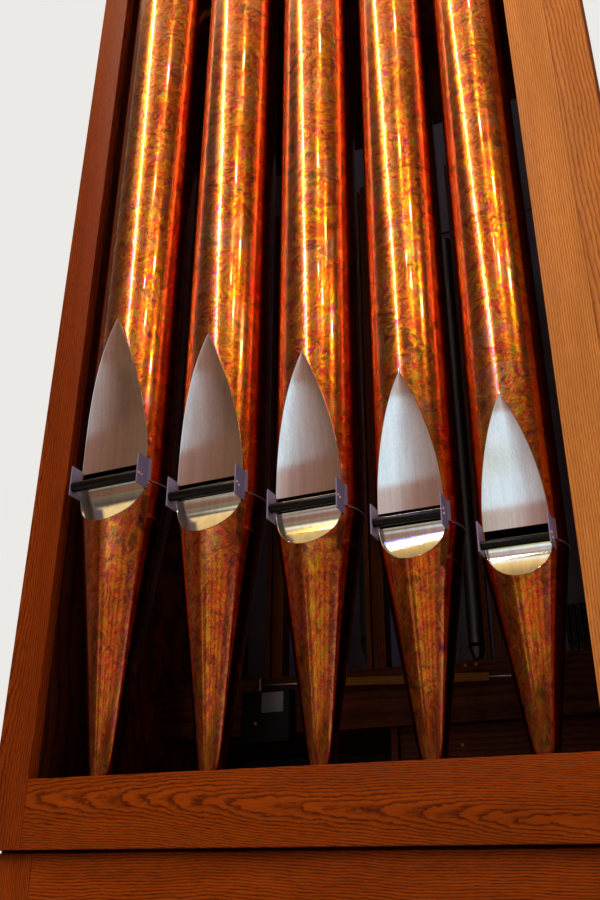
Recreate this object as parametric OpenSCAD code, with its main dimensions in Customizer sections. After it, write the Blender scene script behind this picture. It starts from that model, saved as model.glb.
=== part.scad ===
// Pipe organ: one bay of an oak case with a row of five copper facade pipes.
// All sizes are millimetres. The origin is on the floor under the middle of the
// whole. X runs along the front, +Y into the organ, Z up.

/* [Case] */
// Depth from the front of the upper frame to the back
case_depth = 850; // [700:10:1100]
// Height of the underside of the impost rail
impost_z = 1600; // [1400:10:1800]
// Height of the upper frame above the impost underside
front_h = 3040; // [2800:10:3400]
// Thickness of the boards of the front frame
frame_t = 20; // [16:1:26]
// Thickness of sides, jambs, deck and back
board_t = 22; // [18:1:28]
// Width of the two upper stiles
stile_w = 63.5; // [50:0.5:80]
// Width of the stile that closes the bay on the right
closing_w = 56; // [45:0.5:75]
// Height of the impost rail
rail_h = 95; // [70:1:120]
// Height of the top rail
top_rail_h = 95; // [70:1:120]
// Depth of the jamb boards behind the stiles
jamb_depth = 160; // [140:5:220]

/* [Base] */
// Distance the base stands behind the upper frame
base_setback = 15; // [10:1:19]
// Open line between the base frame and the upper frame
shadow_gap = 4; // [2:0.5:8]
// Width of the base stiles
base_stile_w = 76; // [60:1:100]
// Height of the two base rails
base_rail_h = 110; // [80:1:150]
// Height of the plinth
plinth_h = 120; // [80:5:180]
// Thickness of the plinth boards
plinth_t = 30; // [24:1:45]
// Distance the plinth stands in front of the base frame
plinth_proud = 6; // [2:1:9]
// Thickness of the base panel
panel_t = 12; // [8:1:18]

/* [Facade pipes] */
// Outside diameter of the largest pipe
pipe_d = 157; // [140:0.5:170]
// Number of pipes after which the diameter has halved
halving = 9; // [7:0.5:12]
// Distance between the centres of the two largest pipes
pitch = 183.5; // [175:0.5:200]
// Each further distance between centres over the one before
pitch_ratio = 0.913; // [0.9:0.001:0.95]
// Gap between the first pipe and the left stile
gap_left = 20.5; // [12:0.5:40]
// Gap between the last pipe and the right stile
gap_right = 16; // [12:1:40]
// Clearance between the impost rail and the largest foot
foot_gap = 4.5; // [2:0.5:20]
// Wall thickness of bodies and feet
wall = 1.6; // [1.2:0.1:2.4]
// Height of the largest upper lip above the impost underside
lip_rise = 574; // [500:1:640]
// Fall of the upper lip from the largest pipe to the next
lip_step = 52.5; // [30:0.5:60]
// Each further fall of the lip over the one before
lip_ratio = 0.965; // [0.9:0.005:1]
// Gap between the tallest pipe and the top rail
top_gap = 33; // [10:1:120]
// Toe diameter over pipe diameter
toe_ratio = 0.2; // [0.16:0.01:0.28]
// Depth of the toes below the top of the impost rail
toe_drop = 30; // [20:1:45]

/* [Mouths] */
// Width of the largest mouth
mouth = 126; // [116:0.5:130]
// Number of pipes after which the mouth width has halved
mouth_halving = 7.2; // [6.5:0.1:9]
// Cut-up over mouth width
cutup_ratio = 0.24; // [0.2:0.01:0.32]
// Height of the pointed upper leaf over mouth width
leaf_ratio = 2.2; // [1.6:0.05:2.6]
// Height of the lower lip over mouth width
lower_ratio = 0.53; // [0.38:0.01:0.6]
// Thickness of the bright lip plates
plate_t = 0.8; // [0.5:0.1:1.5]
// Rim of the lip plates outside the flattened metal
rim = 1; // [0.5:0.1:2]
// Thickness of the languid
languid_t = 4; // [2:0.5:8]
// Width of the windway slit
windway = 1.2; // [0.6:0.1:2]
// Thickness of the ears
ear_t = 2; // [1.5:0.1:3]
// Reach of the ears in front of the mouth
ear_out = 26; // [24:1:35]
// Reach of the ears below the languid
ear_below = 14; // [11:1:24]
// Reach of the ears above the upper lip
ear_above = 7; // [1:1:12]
// Width of the ear flanges on the pipe
flange_w = 5; // [4:0.5:8]
// Thickness of the ear flanges
flange_t = 1; // [0.8:0.1:2]
// Roller diameter over mouth width
roller_ratio = 0.135; // [0.1:0.005:0.16]
// Distance of the roller axis in front of the mouth
roller_out = 18; // [14:0.5:20]

/* [Inside] */
// Thickness of the toe board
toe_board_t = 30; // [20:1:32]
// Height of the pipe rail above the deck
pipe_rail_rise = 1700; // [1400:10:2200]
// Clearance around the pipes in the pipe rail
fit = 0.3; // [0.2:0.1:0.6]
// Gap between the back of the case and the inner panel
swell_gap = 60; // [30:5:120]
// Thickness of the inner panel
swell_t = 18; // [15:1:26]
// Height of the inner panel above the deck
swell_h = 1868; // [1600:4:2200]
// Height of the groove in the inner panel above the deck
groove_rise = 1436; // [1200:4:1500]
// Height of the groove
groove_h = 55; // [20:1:80]
// Depth of the groove
groove_depth = 6; // [3:0.5:9]
// Height of the wind chest above the deck
chest_rise = 200; // [160:5:220]
// Height of the wind chest
chest_h = 100; // [90:5:130]
// Depth of the wind chest
chest_depth = 350; // [300:5:380]
// Wall thickness of the wind chest
chest_t = 20; // [16:1:26]
// Distance the lower part of the chest stands back
chest_step = 20; // [10:1:40]
// Thickness of the bearer under the chest
bearer_t = 12; // [8:1:20]
// Width of the wider wooden pipes
wood_w = 22; // [18:1:28]
// Width of the narrow wooden pipes
slim_w = 9; // [8:0.5:14]
// Depth of the wooden pipes over their width
wood_ratio = 1.4; // [1.2:0.05:1.6]
// Height of the wooden pipes above the chest
wood_h = 1100; // [800:10:1500]
// Diameter of the larger inner metal pipe
metal_d = 44; // [36:1:52]
// Diameter of the smaller inner metal pipe
slim_d = 30; // [24:1:34]
// Height of the inner metal pipes above the chest
metal_h = 900; // [600:10:1300]
// Height of the foot of the larger metal pipe
metal_foot_h = 60; // [45:1:80]
// Diameter of the treble pipes
treble_d = 9; // [7:0.5:10]
// Height of the treble pipes above the chest
treble_h = 80; // [70:1:120]
// Distance between the treble pipes
treble_pitch = 10.5; // [10.5:0.5:14]
// Width of the relay box
relay_w = 97; // [84:1:106]
// Height of the relay box
relay_h = 91; // [70:1:100]
// Depth of the relay box
relay_depth = 24; // [20:1:34]
// Height of the lath of the linkage
lath_h = 14; // [10:1:18]
// Thickness of the lath
lath_t = 8; // [7:0.5:10]
// Length of the lath
lath_w = 347; // [300:1:370]
// Angle at which the linkage falls to the right
lath_angle = 2.5; // [0:0.5:4]
// Diameter of the rods of the linkage
rod_d = 5; // [3:0.5:6]

/* [Hidden] */

// Curve steps: facade tubes, small tubes, rollers
tube_fn = 64;
small_fn = 32;
// Steps along the leaf, the lower lip and the half ellipse
leaf_n = 12;
lower_n = 8;
arc_n = 16;
// Overrun of cutters
over = 1;
last = 4;

// Scale of the row: diameters fall by a fixed ratio from pipe to pipe
function dia(i) = pipe_d * pow(2, -i / halving);
function run(i) = i == 0 ? 0 : run(i - 1) + pitch * pow(pitch_ratio, i - 1);
row_w = gap_left + dia(0) / 2 + run(last) + dia(last) / 2 + gap_right;
case_w = 2 * stile_w + closing_w + row_w;
x_left = -case_w / 2;
x_right = case_w / 2;
open_left = x_left + stile_w;
open_right = open_left + row_w;
function pipe_x(i) = open_left + gap_left + dia(0) / 2 + run(i);

// Heights
deck_z = impost_z;
base_top = impost_z - shadow_gap;
top_z = impost_z + front_h;
roof_z = top_z - board_t;
rail_top = impost_z + rail_h;
toe_z = rail_top - toe_drop;
function mouth_w(i) = mouth * pow(2, -i / mouth_halving);
function cutup(i) = cutup_ratio * mouth_w(i);
function lip_z(i) = i == 0 ? impost_z + lip_rise : lip_z(i - 1) - lip_step * pow(lip_ratio, i - 1);
function languid_z(i) = lip_z(i) - cutup(i);
body_l = top_z - top_rail_h - top_gap - languid_z(0);

// Feet: straight cones from the toe to the languid
function toe_r(i) = toe_ratio * dia(i) / 2;
function cone_r(i, z) = toe_r(i)
    + (dia(i) / 2 - toe_r(i)) * (z - toe_z) / (languid_z(i) - toe_z);

// Depths
row_setback = frame_t + foot_gap + cone_r(0, rail_top);
proud = pipe_d / 2 - row_setback;
y_front = -(case_depth - proud) / 2;
y_back = y_front + case_depth;
y_row = y_front + row_setback;
y_base = y_front + base_setback;
y_carcass = y_base + frame_t;
y_jamb = y_front + frame_t;
y_jamb_back = y_jamb + jamb_depth;

// Mouths: a leaf pressed into the tube, ruled along X. The half width of the
// leaf is a circular ogive, and the depth follows from the circle of the tube.
function leaf_h(i) = leaf_ratio * mouth_w(i);
function ogive_c(i) = (pow(leaf_h(i), 2) - pow(mouth_w(i) / 2, 2)) / mouth_w(i);
function leaf_hw(i, z) = sqrt(pow(ogive_c(i) + mouth_w(i) / 2, 2) - z * z) - ogive_c(i);
function chord(r, hw) = sqrt(r * r - hw * hw);
function mouth_y(i) = chord(dia(i) / 2, mouth_w(i) / 2);
function lower_h(i) = lower_ratio * mouth_w(i);
// Metal just outside the round of the pipe, so that the cut ends cleanly
skim = 0.3;
tip_h = 12;
function lower_r(i) = cone_r(i, languid_z(i) - lower_h(i)) + skim;
function lower_hw(i, s) = mouth_w(i) / 2 * sqrt(1 - s * s);
function leaf_line(i, off) = concat(
    [for (k = [0:leaf_n - 1]) let (z = leaf_h(i) * k / leaf_n)
        [-chord(dia(i) / 2, leaf_hw(i, z)) - off, z]],
    [[-dia(i) / 2 - skim - off, leaf_h(i)]]);
function lower_line(i, off, top) = concat(
    [for (k = [0:lower_n - 1]) let (t = top + (lower_h(i) - top) * k / lower_n)
        [-chord(cone_r(i, languid_z(i) - t), lower_hw(i, t / lower_h(i))) - off, -t]],
    [[-lower_r(i) - off, -lower_h(i)]]);
function flip(points) = [for (k = [len(points) - 1:-1:0]) points[k]];
// Rollers are set by ear, a little above or below the languid
roller_lift = [1.5, 3, 3.5, 4, -4];
ear_fit = 0.2;
function ear_x(i) = mouth_w(i) / 2 + rim + ear_fit;

// Inside: all places are taken from the chest front and the middle of the opening
row_mid = (open_left + open_right) / 2;
inner_left = x_left + board_t;
inner_right = x_right - board_t;
y_back_in = y_back - board_t;
y_swell = y_back_in - swell_gap - swell_t;
chest_z = deck_z + chest_rise;
chest_top = chest_z + chest_h;
y_chest = y_swell - chest_depth;
y_under = y_swell - over;
bearer_right = 24;
bearer_x = row_mid + bearer_right;
groups_x = [-206, -2, 213];
wood_in = 24;
wood_y = y_chest + wood_in;
wood_space = 8.5;
stopper_h = 18;
metal_x = -34;
metal_in = 60;
metal_y = y_chest + metal_in;
slim_x = 168.5;
slim_in = 30;
slim_y = y_chest + slim_in;
slim_foot_h = 26;
metal_wall = 1;
tip_ratio = 0.3;
treble_n = 5;
treble_x = 328;
treble_in = 14;
treble_y = y_chest + treble_in;
treble_foot_h = 16;
relay_x = -212.5;
relay_drop = 18;
label_w = 43;
label_h = 35;
label_t = 0.8;
label_x = 15;
label_z = 4;
lath_x = 22;
lath_out = 12;
lath_y = y_chest - lath_out;
lath_drop = 25.5;
lath_z = chest_top - lath_drop;
pin_x = -229;
pin_h = 25;
bracket_x = 290;
bracket_w = 8;
bracket_h = 20;

oak = "#b5713a";
oak_red = "#9d5a30";
copper = "#a8532b";
plate = "#d9d6d2";
ear_grey = "#8d8794";
roller_black = "#1f1d1a";
pine = "#c9a876";
panel_blue = "#6d7a88";
tin = "#8f9396";
case_black = "#202124";

module block(from, to) {
    translate(from) cube(to - from);
}

// A solid whose YZ outline is the polygon, drawn out along X
module along_x(points, w) {
    rotate([90, 0, 90]) linear_extrude(height = w, center = true) polygon(points);
}

// A solid whose XZ outline is the polygon, drawn out to the front
module to_front(points, depth) {
    rotate([90, 0, 0]) linear_extrude(height = depth) polygon(points);
}

module at_pipe(i, z) {
    translate([pipe_x(i), y_row, z]) children();
}

module plinth() {
    color(oak_red) difference() {
        block([x_left, y_base - plinth_proud, 0], [x_right, y_back, plinth_h]);
        block([x_left + plinth_t, y_base - plinth_proud + plinth_t, -over],
            [x_right - plinth_t, y_back - plinth_t, plinth_h + over]);
    }
}

module base_carcass() {
    color(oak_red) difference() {
        block([x_left, y_carcass, plinth_h], [x_right, y_back, deck_z - board_t]);
        block([x_left + board_t, y_carcass - over, plinth_h - over],
            [x_right - board_t, y_back - board_t, deck_z]);
    }
}

module base_stile_left() {
    color(oak_red) block([x_left, y_base, plinth_h], [x_left + base_stile_w, y_carcass, base_top]);
}

module base_stile_right() {
    color(oak_red) block([x_right - base_stile_w, y_base, plinth_h], [x_right, y_carcass, base_top]);
}

module base_rail(z) {
    color(oak_red) block([x_left + base_stile_w, y_base, z],
        [x_right - base_stile_w, y_carcass, z + base_rail_h]);
}

module base_top_rail() {
    base_rail(base_top - base_rail_h);
}

module base_bottom_rail() {
    base_rail(plinth_h);
}

module base_panel() {
    color(oak_red) block([x_left + base_stile_w, y_carcass - panel_t, plinth_h + base_rail_h],
        [x_right - base_stile_w, y_carcass, base_top - base_rail_h]);
}

module deck() {
    color(oak_red) block([x_left, y_carcass, deck_z - board_t], [x_right, y_back, deck_z]);
}

module upright(x, w) {
    color(oak) block([x, y_front, impost_z], [x + w, y_jamb, top_z]);
}

module stile_left() {
    upright(x_left, stile_w);
}

module stile_right() {
    upright(open_right, stile_w);
}

module closing_stile() {
    upright(open_right + stile_w, closing_w);
}

module impost_rail() {
    color(oak_red) block([open_left, y_front, impost_z], [open_right, y_jamb, rail_top]);
}

module top_rail() {
    color(oak) block([open_left, y_front, top_z - top_rail_h], [open_right, y_jamb, top_z]);
}

module jamb(x) {
    color(oak_red) block([x, y_jamb, deck_z], [x + board_t, y_jamb_back, roof_z]);
}

module jamb_left() {
    jamb(open_left - board_t);
}

module jamb_right() {
    jamb(open_right);
}

module case_side(x) {
    color(oak) block([x, y_jamb, deck_z], [x + board_t, y_back, top_z]);
}

module side_left() {
    case_side(x_left);
}

module side_right() {
    case_side(x_right - board_t);
}

module back_panel() {
    color(oak_red) block([inner_left, y_back_in, deck_z], [inner_right, y_back, roof_z]);
}

module roof() {
    color(oak_red) block([inner_left, y_jamb, roof_z], [inner_right, y_back, top_z]);
}

// Painted panel behind the inner pipes, with a groove across it
module inner_panel() {
    color(panel_blue) difference() {
        block([inner_left, y_swell, deck_z], [inner_right, y_swell + swell_t, deck_z + swell_h]);
        block([inner_left - over, y_swell - over, deck_z + groove_rise],
            [inner_right + over, y_swell + groove_depth, deck_z + groove_rise + groove_h]);
    }
}

// Board under the toes, with one wind hole to each pipe
module toe_board() {
    color(pine) difference() {
        block([open_left, y_jamb, toe_z - toe_board_t], [open_right, y_jamb_back, toe_z]);
        for (i = [0:last]) at_pipe(i, toe_z - toe_board_t - over)
            cylinder(r = toe_r(i) - wall, h = toe_board_t + 2 * over, $fn = small_fn);
    }
}

// Rail behind the bodies, notched to the round of each pipe
module pipe_rail() {
    color(pine) difference() {
        block([open_left, y_row + pipe_d / 6, deck_z + pipe_rail_rise],
            [open_right, y_jamb_back, deck_z + pipe_rail_rise + board_t]);
        for (i = [0:last]) at_pipe(i, deck_z + pipe_rail_rise - over)
            cylinder(d = dia(i) + 2 * fit, h = board_t + 2 * over, $fn = tube_fn);
    }
}

// Cone with a pressed lower lip, closed by the languid behind a slit
module facade_foot(i) {
    r = dia(i) / 2;
    h = languid_z(i) - toe_z;
    slit_y = -mouth_y(i) + wall;
    color(copper) at_pipe(i, languid_z(i)) difference() {
        translate([0, 0, -h]) cylinder(r1 = toe_r(i), r2 = r, h = h, $fn = tube_fn);
        along_x(concat(lower_line(i, 0, 0), [[-2 * r, -lower_h(i)], [-2 * r, over], [-mouth_y(i), over]]),
            2 * r);
        intersection() {
            translate([0, 0, -h]) cylinder(r1 = toe_r(i) - wall, r2 = r - wall, h = h, $fn = tube_fn);
            along_x(concat(lower_line(i, -wall, languid_t),
                [[-2 * r, -lower_h(i)], [-2 * r, -h - over], [r, -h - over], [r, -languid_t]]), 2 * r);
        }
        translate([-mouth_w(i) / 2 + 2 * wall, slit_y, -languid_t - over])
            cube([mouth_w(i) - 4 * wall, windway, languid_t + 2 * over]);
    }
}

// Tube with the pressed upper leaf and the mouth below it
module facade_body(i) {
    r = dia(i) / 2;
    color(copper) at_pipe(i, lip_z(i)) difference() {
        translate([0, 0, -cutup(i)]) cylinder(r = r, h = body_l, $fn = tube_fn);
        along_x(concat(leaf_line(i, 0), [[-2 * r, leaf_h(i)], [-2 * r, -cutup(i) - over],
            [-mouth_y(i), -cutup(i) - over]]), 2 * r);
        intersection() {
            translate([0, 0, -cutup(i) - over]) cylinder(r = r - wall, h = body_l + 2 * over, $fn = tube_fn);
            along_x(concat(leaf_line(i, -wall), [[-2 * r, leaf_h(i)], [-2 * r, body_l + over],
                [r, body_l + over], [r, -cutup(i) - 2 * over], [-2 * r, -cutup(i) - 2 * over], [-2 * r, 0]]),
                2 * r);
        }
    }
}

// Bright plates that follow the pressed metal: a pointed leaf and a half ellipse
module facade_lips(i) {
    r = dia(i) / 2;
    hw = mouth_w(i) / 2 + rim;
    color(plate) {
        at_pipe(i, lip_z(i)) intersection() {
            along_x(concat(leaf_line(i, 0), [[-r - skim, leaf_h(i) + tip_h],
                [-r - skim - plate_t, leaf_h(i) + tip_h]], flip(leaf_line(i, plate_t))), 2 * r);
            to_front(concat([for (k = [0:leaf_n]) let (z = leaf_h(i) * k / leaf_n) [leaf_hw(i, z) + rim, z]],
                [[0, leaf_h(i) + tip_h]],
                [for (k = [leaf_n:-1:0]) let (z = leaf_h(i) * k / leaf_n) [-leaf_hw(i, z) - rim, z]]), 2 * r);
        }
        at_pipe(i, languid_z(i)) intersection() {
            along_x(concat(lower_line(i, 0, 0), [[-lower_r(i), -lower_h(i) - rim - over],
                [-lower_r(i) - plate_t, -lower_h(i) - rim - over]], flip(lower_line(i, plate_t, 0))), 2 * r);
            to_front([for (k = [0:arc_n]) let (a = 180 * k / arc_n)
                [hw * cos(a), -(lower_h(i) + rim) * sin(a)]], 2 * r);
        }
    }
}

// Pair of side plates at the mouth, each with a flange on the body above the languid
module facade_ears(i) {
    r = dia(i) / 2;
    below = -ear_below;
    above = cutup(i) + ear_above;
    color(ear_grey) at_pipe(i, languid_z(i)) for (side = [0, 1]) mirror([side, 0, 0]) difference() {
        union() {
            block([ear_x(i), -mouth_y(i) - ear_out, below], [ear_x(i) + ear_t, 0, above]);
            intersection() {
                block([ear_x(i), -r - over, 0], [ear_x(i) + flange_w, 0, above]);
                cylinder(r = r + flange_t, h = above, $fn = tube_fn);
            }
        }
        translate([0, 0, below - over]) cylinder(r = r, h = above - below + 2 * over, $fn = tube_fn);
    }
}

module facade_roller(i) {
    color(roller_black) at_pipe(i, languid_z(i) + roller_lift[i])
        translate([-ear_x(i), -mouth_y(i) - roller_out, 0])
        rotate([0, 90, 0]) cylinder(d = roller_ratio * mouth_w(i), h = 2 * ear_x(i), $fn = small_fn);
}

module pipe_foot_1() { facade_foot(0); }
module pipe_foot_2() { facade_foot(1); }
module pipe_foot_3() { facade_foot(2); }
module pipe_foot_4() { facade_foot(3); }
module pipe_foot_5() { facade_foot(4); }
module pipe_body_1() { facade_body(0); }
module pipe_body_2() { facade_body(1); }
module pipe_body_3() { facade_body(2); }
module pipe_body_4() { facade_body(3); }
module pipe_body_5() { facade_body(4); }
module lips_1() { facade_lips(0); }
module lips_2() { facade_lips(1); }
module lips_3() { facade_lips(2); }
module lips_4() { facade_lips(3); }
module lips_5() { facade_lips(4); }
module ears_1() { facade_ears(0); }
module ears_2() { facade_ears(1); }
module ears_3() { facade_ears(2); }
module ears_4() { facade_ears(3); }
module ears_5() { facade_ears(4); }
module roller_1() { facade_roller(0); }
module roller_2() { facade_roller(1); }
module roller_3() { facade_roller(2); }
module roller_4() { facade_roller(3); }
module roller_5() { facade_roller(4); }

// Chest with a lower part set back to the right of its bearer
module windchest() {
    color(pine) difference() {
        union() {
            block([inner_left, y_chest, chest_z], [inner_right, y_swell, chest_top]);
            block([bearer_x, y_chest + chest_step, deck_z + toe_drop],
                [inner_right, y_under, chest_z + over]);
            block([bearer_x - bearer_t, y_chest + chest_step / 2, deck_z],
                [bearer_x, y_under - over, chest_z + over]);
        }
        block([inner_left + chest_t, y_chest + chest_t, chest_z + chest_t],
            [inner_right - chest_t, y_swell - chest_t, chest_top - chest_t]);
        block([bearer_x + chest_t, y_chest + chest_step + chest_t, deck_z + toe_drop + chest_t],
            [inner_right - chest_t, y_under - chest_t, chest_z]);
    }
}

// Square wooden pipe: hollow, with a stopper at the top and a foot block
module wooden_pipe(x, w) {
    d = w * wood_ratio;
    t = w / 6;
    translate([row_mid + x, wood_y, chest_top]) difference() {
        translate([-w / 2, -d / 2, 0]) cube([w, d, wood_h]);
        translate([-w / 2 + t, -d / 2 + t, stopper_h]) cube([w - 2 * t, d - 2 * t, wood_h - 2 * stopper_h]);
        translate([-w / 2 + t, d / 2 - t - over, stopper_h]) cube([w - 2 * t, t + 2 * over, w / 4]);
    }
}

module wooden_pipes() {
    color(pine) for (x = groups_x) {
        wooden_pipe(x, wood_w);
        wooden_pipe(x - wood_w / 2 - wood_space - slim_w / 2, slim_w);
    }
}

// Plain metal pipe: cone foot on the chest, tube with a mouth and open top
module metal_pipe(d, foot_h, h) {
    difference() {
        union() {
            cylinder(d1 = tip_ratio * d, d2 = d, h = foot_h, $fn = small_fn);
            translate([0, 0, foot_h]) cylinder(d = d, h = h - foot_h, $fn = small_fn);
        }
        translate([0, 0, foot_h]) cylinder(d = d - 2 * metal_wall, h = h, $fn = small_fn);
        translate([-d, -d, foot_h]) cube([2 * d, 0.7 * d, d / 5]);
    }
}

module metal_pipes() {
    color(tin) {
        translate([row_mid + metal_x, metal_y, chest_top]) metal_pipe(metal_d, metal_foot_h, metal_h);
        translate([row_mid + slim_x, slim_y, chest_top]) metal_pipe(slim_d, slim_foot_h, metal_h);
        for (i = [0:treble_n - 1]) translate([row_mid + treble_x + i * treble_pitch, treble_y, chest_top])
            metal_pipe(treble_d, treble_foot_h, treble_h);
    }
}

// Small box on the chest front with a bare label on its face
module relay_box() {
    corner = [row_mid + relay_x - relay_w / 2, y_chest - relay_depth, chest_z - relay_drop];
    color(case_black) translate(corner) {
        cube([relay_w, relay_depth, relay_h]);
        translate([relay_w / 2 + label_x - label_w / 2, -label_t, relay_h - label_h - label_z])
            cube([label_w, label_t + over, label_h]);
    }
}

// Lath between two rods, falling a little to the right. The left rod hangs on a pin
// that stands on the box, and the right one runs into a bracket on the chest.
module linkage() {
    lath_to = lath_w / 2;
    pin = pin_x - lath_x;
    to = bracket_x - lath_x;
    translate([row_mid + lath_x, lath_y, lath_z]) rotate([0, lath_angle, 0]) {
        color(pine) block([-lath_to, -lath_t / 2, -lath_h / 2], [lath_to, lath_t / 2, lath_h / 2]);
        color(tin) {
            translate([pin, 0, 0]) rotate([0, 90, 0])
                cylinder(d = rod_d, h = over - lath_to - pin, $fn = small_fn);
            translate([lath_to - over, 0, 0]) rotate([0, 90, 0])
                cylinder(d = rod_d, h = to - lath_to + over + bracket_w / 2, $fn = small_fn);
            block([to, -rod_d, -bracket_h / 2], [to + bracket_w, y_chest - lath_y, bracket_h / 2]);
        }
    }
    color(tin) translate([row_mid + pin_x, lath_y, chest_z - relay_drop + relay_h])
        cylinder(d = rod_d, h = pin_h, $fn = small_fn);
}

plinth();
base_carcass();
base_stile_left();
base_stile_right();
base_top_rail();
base_bottom_rail();
base_panel();
deck();
stile_left();
stile_right();
closing_stile();
impost_rail();
top_rail();
jamb_left();
jamb_right();
side_left();
side_right();
back_panel();
roof();
inner_panel();
toe_board();
pipe_rail();
pipe_foot_1();
pipe_foot_2();
pipe_foot_3();
pipe_foot_4();
pipe_foot_5();
pipe_body_1();
pipe_body_2();
pipe_body_3();
pipe_body_4();
pipe_body_5();
lips_1();
lips_2();
lips_3();
lips_4();
lips_5();
ears_1();
ears_2();
ears_3();
ears_4();
ears_5();
roller_1();
roller_2();
roller_3();
roller_4();
roller_5();
windchest();
wooden_pipes();
metal_pipes();
relay_box();
linkage();
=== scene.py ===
import math

import bmesh
import bpy
import numpy as np
from mathutils import Matrix, Vector


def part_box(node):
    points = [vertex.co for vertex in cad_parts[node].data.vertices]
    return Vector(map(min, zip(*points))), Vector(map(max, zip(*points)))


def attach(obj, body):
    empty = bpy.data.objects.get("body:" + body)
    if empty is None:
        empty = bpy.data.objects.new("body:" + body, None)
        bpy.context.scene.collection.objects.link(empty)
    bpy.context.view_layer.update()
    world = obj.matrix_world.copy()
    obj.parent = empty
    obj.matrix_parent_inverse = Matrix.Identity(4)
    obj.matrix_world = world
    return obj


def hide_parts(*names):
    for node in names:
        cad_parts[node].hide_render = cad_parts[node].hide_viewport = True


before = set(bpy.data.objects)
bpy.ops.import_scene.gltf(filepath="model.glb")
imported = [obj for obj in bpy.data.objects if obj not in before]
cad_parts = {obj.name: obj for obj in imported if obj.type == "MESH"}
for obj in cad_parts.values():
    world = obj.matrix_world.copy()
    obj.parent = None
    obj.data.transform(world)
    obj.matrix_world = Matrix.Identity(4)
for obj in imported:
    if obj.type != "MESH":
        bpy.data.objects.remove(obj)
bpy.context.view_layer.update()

MM = 0.001
PIPES = range(5)
X, Y, Z = range(3)
UP = Z
ACROSS = X

# Sizes that the solids were made from. Shares of the mouth's width: the height of the
# mouth, of the leaf over it and of the lower lip. Share of the body's radius: the toe.
CUT_UP = 0.24
LEAF = 2.2
LOWER = 0.53
TOE = 0.2
# In metres: the pipe's wall, and the lip plates' rim beyond the pressed metal and their
# thickness. Then the ear's plate, the gap beside the lips, and the flange.
WALL = 1.6 * MM
RIM = 1.0 * MM
PLATE = 0.8 * MM
EAR = 2.0 * MM
EAR_FIT = 0.2 * MM
FLANGE = 1.0 * MM
FLANGE_WIDTH = 5 * MM


class FacadePipe:
    """Where one pipe stands and how large it is, read from its solids."""

    def __init__(self, index):
        body_low, body_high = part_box(f"pipe_body_{index + 1}")
        self.number = index + 1
        self.x = (body_low.x + body_high.x) / 2
        self.r = (body_high.x - body_low.x) / 2
        self.y = body_high.y - self.r
        self.languid = body_low.z
        self.top = body_high.z
        self.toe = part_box(f"pipe_foot_{index + 1}")[0].z
        self.toe_r = TOE * self.r
        lips_low, lips_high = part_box(f"lips_{index + 1}")
        self.mouth = lips_high.x - lips_low.x - 2 * RIM
        self.lip = self.languid + CUT_UP * self.mouth
        self.leaf = LEAF * self.mouth
        self.lower = LOWER * self.mouth
        self.mouth_y = math.sqrt(self.r**2 - self.mouth**2 / 4)
        ear_low, ear_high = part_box(f"ears_{index + 1}")
        self.ear_low, self.ear_high, self.ear_front = ear_low.z, ear_high.z, ear_low.y
        self.ear_x = self.mouth / 2 + RIM + EAR_FIT
        rod_low, rod_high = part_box(f"roller_{index + 1}")
        self.rod = (rod_high.z - rod_low.z) / 2
        self.rod_z = (rod_high.z + rod_low.z) / 2
        self.rod_y = (rod_high.y + rod_low.y) / 2

    def leaf_half(self, z):
        """Half width of the pointed leaf at height z over the lip: an arc of a circle
        that is mouth / 2 wide at the lip and closes at the leaf's height."""
        half = self.mouth / 2
        c = (self.leaf**2 - half**2) / (2 * half)
        return np.sqrt(np.maximum((c + half) ** 2 - z * z, 0)) - c

    def lower_half(self, t):
        """Half width of the half ellipse at depth t under the languid."""
        return self.mouth / 2 * np.sqrt(np.maximum(1 - (t / self.lower) ** 2, 0))

    def cone(self, z):
        """Radius of the foot at height z, a straight cone from toe to languid."""
        share = (z - self.toe) / (self.languid - self.toe)
        return self.toe_r + (self.r - self.toe_r) * share


pipes = [FacadePipe(i) for i in PIPES]


# Meshes


def finish_mesh(name, verts, faces, smooth=35, merge=1e-6):
    """An object from points and faces: unused points go, doubles merge, and edges
    sharper than smooth degrees stay sharp."""
    mesh = bpy.data.meshes.new(name)
    mesh.from_pydata(np.asarray(verts, float).tolist(), [], faces)
    work = bmesh.new()
    work.from_mesh(mesh)
    loose = [v for v in work.verts if not v.link_faces]
    bmesh.ops.delete(work, geom=loose, context="VERTS")
    bmesh.ops.remove_doubles(work, verts=work.verts, dist=merge)
    bmesh.ops.dissolve_degenerate(work, edges=work.edges, dist=merge)
    work.to_mesh(mesh)
    work.free()
    mesh.polygons.foreach_set("use_smooth", np.ones(len(mesh.polygons), bool))
    mesh.set_sharp_from_angle(angle=math.radians(smooth))
    mesh.update()
    piece = bpy.data.objects.new(name, mesh)
    bpy.context.scene.collection.objects.link(piece)
    return piece


def grid_faces(rows, columns, wrap=False, start=0, keep=None):
    """Quads of a grid of points, row by row. wrap joins the last column to the first.
    keep is a mask of rows - 1 by columns that leaves quads out."""
    j = np.arange(columns if wrap else columns - 1)
    i = np.arange(rows - 1)[:, None]
    a = i * columns + j
    b = i * columns + (j + 1) % columns
    quads = np.stack([a, b, b + columns, a + columns], -1)
    if keep is not None:
        return (quads[keep[:, : len(j)]] + start).tolist()
    return (quads.reshape(-1, 4) + start).tolist()


def solid_rings(rings):
    """Points and faces of a closed body: rings of equal count joined in order, with a
    flat face over the first and the last ring."""
    rings = np.asarray(rings, float)
    rows, count = rings.shape[:2]
    faces = grid_faces(rows, count, wrap=True)
    faces.append(list(range(count))[::-1])
    faces.append([(rows - 1) * count + k for k in range(count)])
    return rings.reshape(-1, 3), faces


def join_solids(name, solids, smooth=35):
    """One object of several closed bodies."""
    verts, faces, start = [], [], 0
    for points, polygons in solids:
        verts.append(points)
        faces += [[k + start for k in polygon] for polygon in polygons]
        start += len(points)
    return finish_mesh(name, np.concatenate(verts), faces, smooth)


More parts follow.
